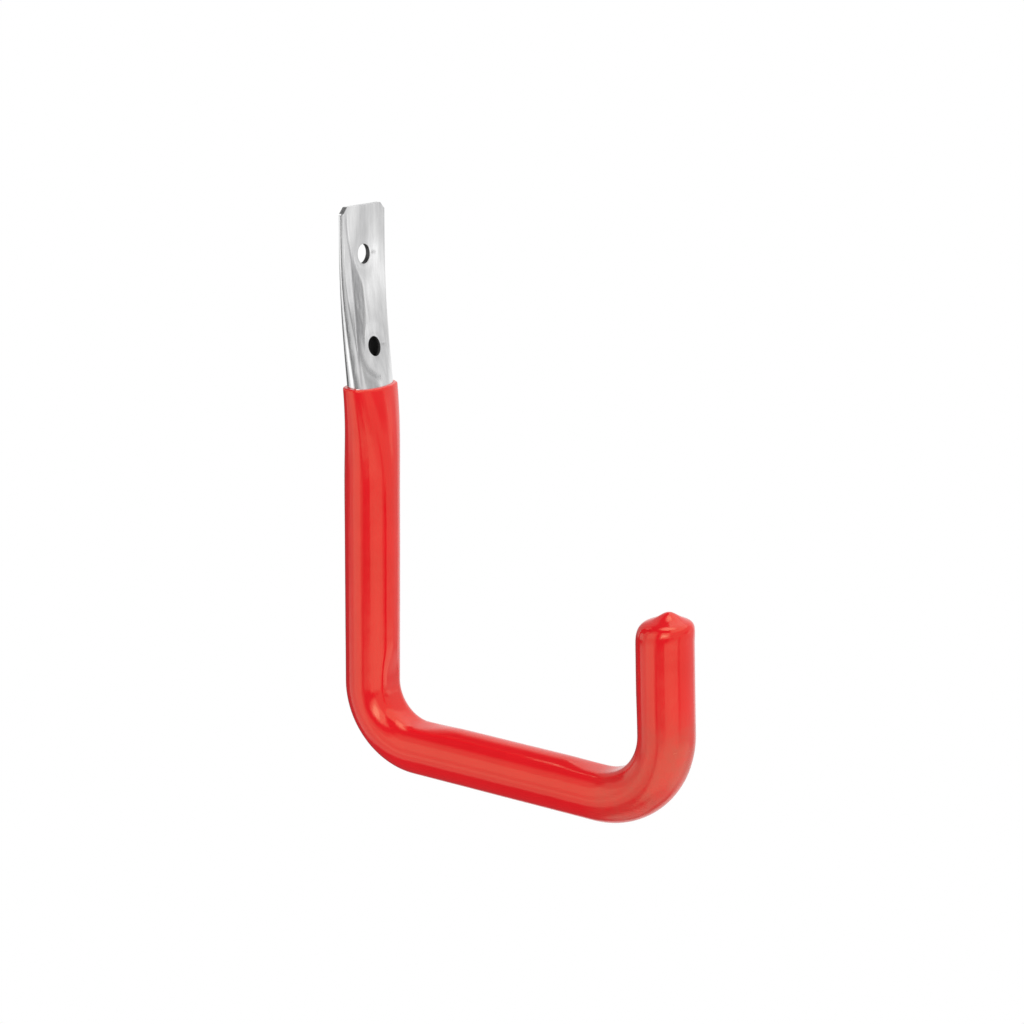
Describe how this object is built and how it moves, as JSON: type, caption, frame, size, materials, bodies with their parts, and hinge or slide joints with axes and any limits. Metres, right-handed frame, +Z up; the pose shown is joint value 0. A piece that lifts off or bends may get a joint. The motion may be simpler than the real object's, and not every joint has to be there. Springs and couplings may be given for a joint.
{
  "type": "garage utility hook",
  "caption": "Bent steel tube wall hook with a pressed flat mounting tab, a level arm and an upturned tip, coated in glossy red vinyl with a closed domed end.",
  "frame": {"origin": "midway between the two screw holes, on the back face of the tab", "axes": "+Z up along the leg, +Y towards the wall, the arm reaches out along -Y"},
  "size_m": [0.0286, 0.1619, 0.2324],
  "materials": {
    "plated_steel": "bright zinc plating over drawn tube",
    "red_vinyl": "glossy dipped vinyl"
  },
  "bodies": {
    "root": {"steel_tube": "plated_steel", "vinyl_sleeve": "red_vinyl"}
  },
  "joints": []
}
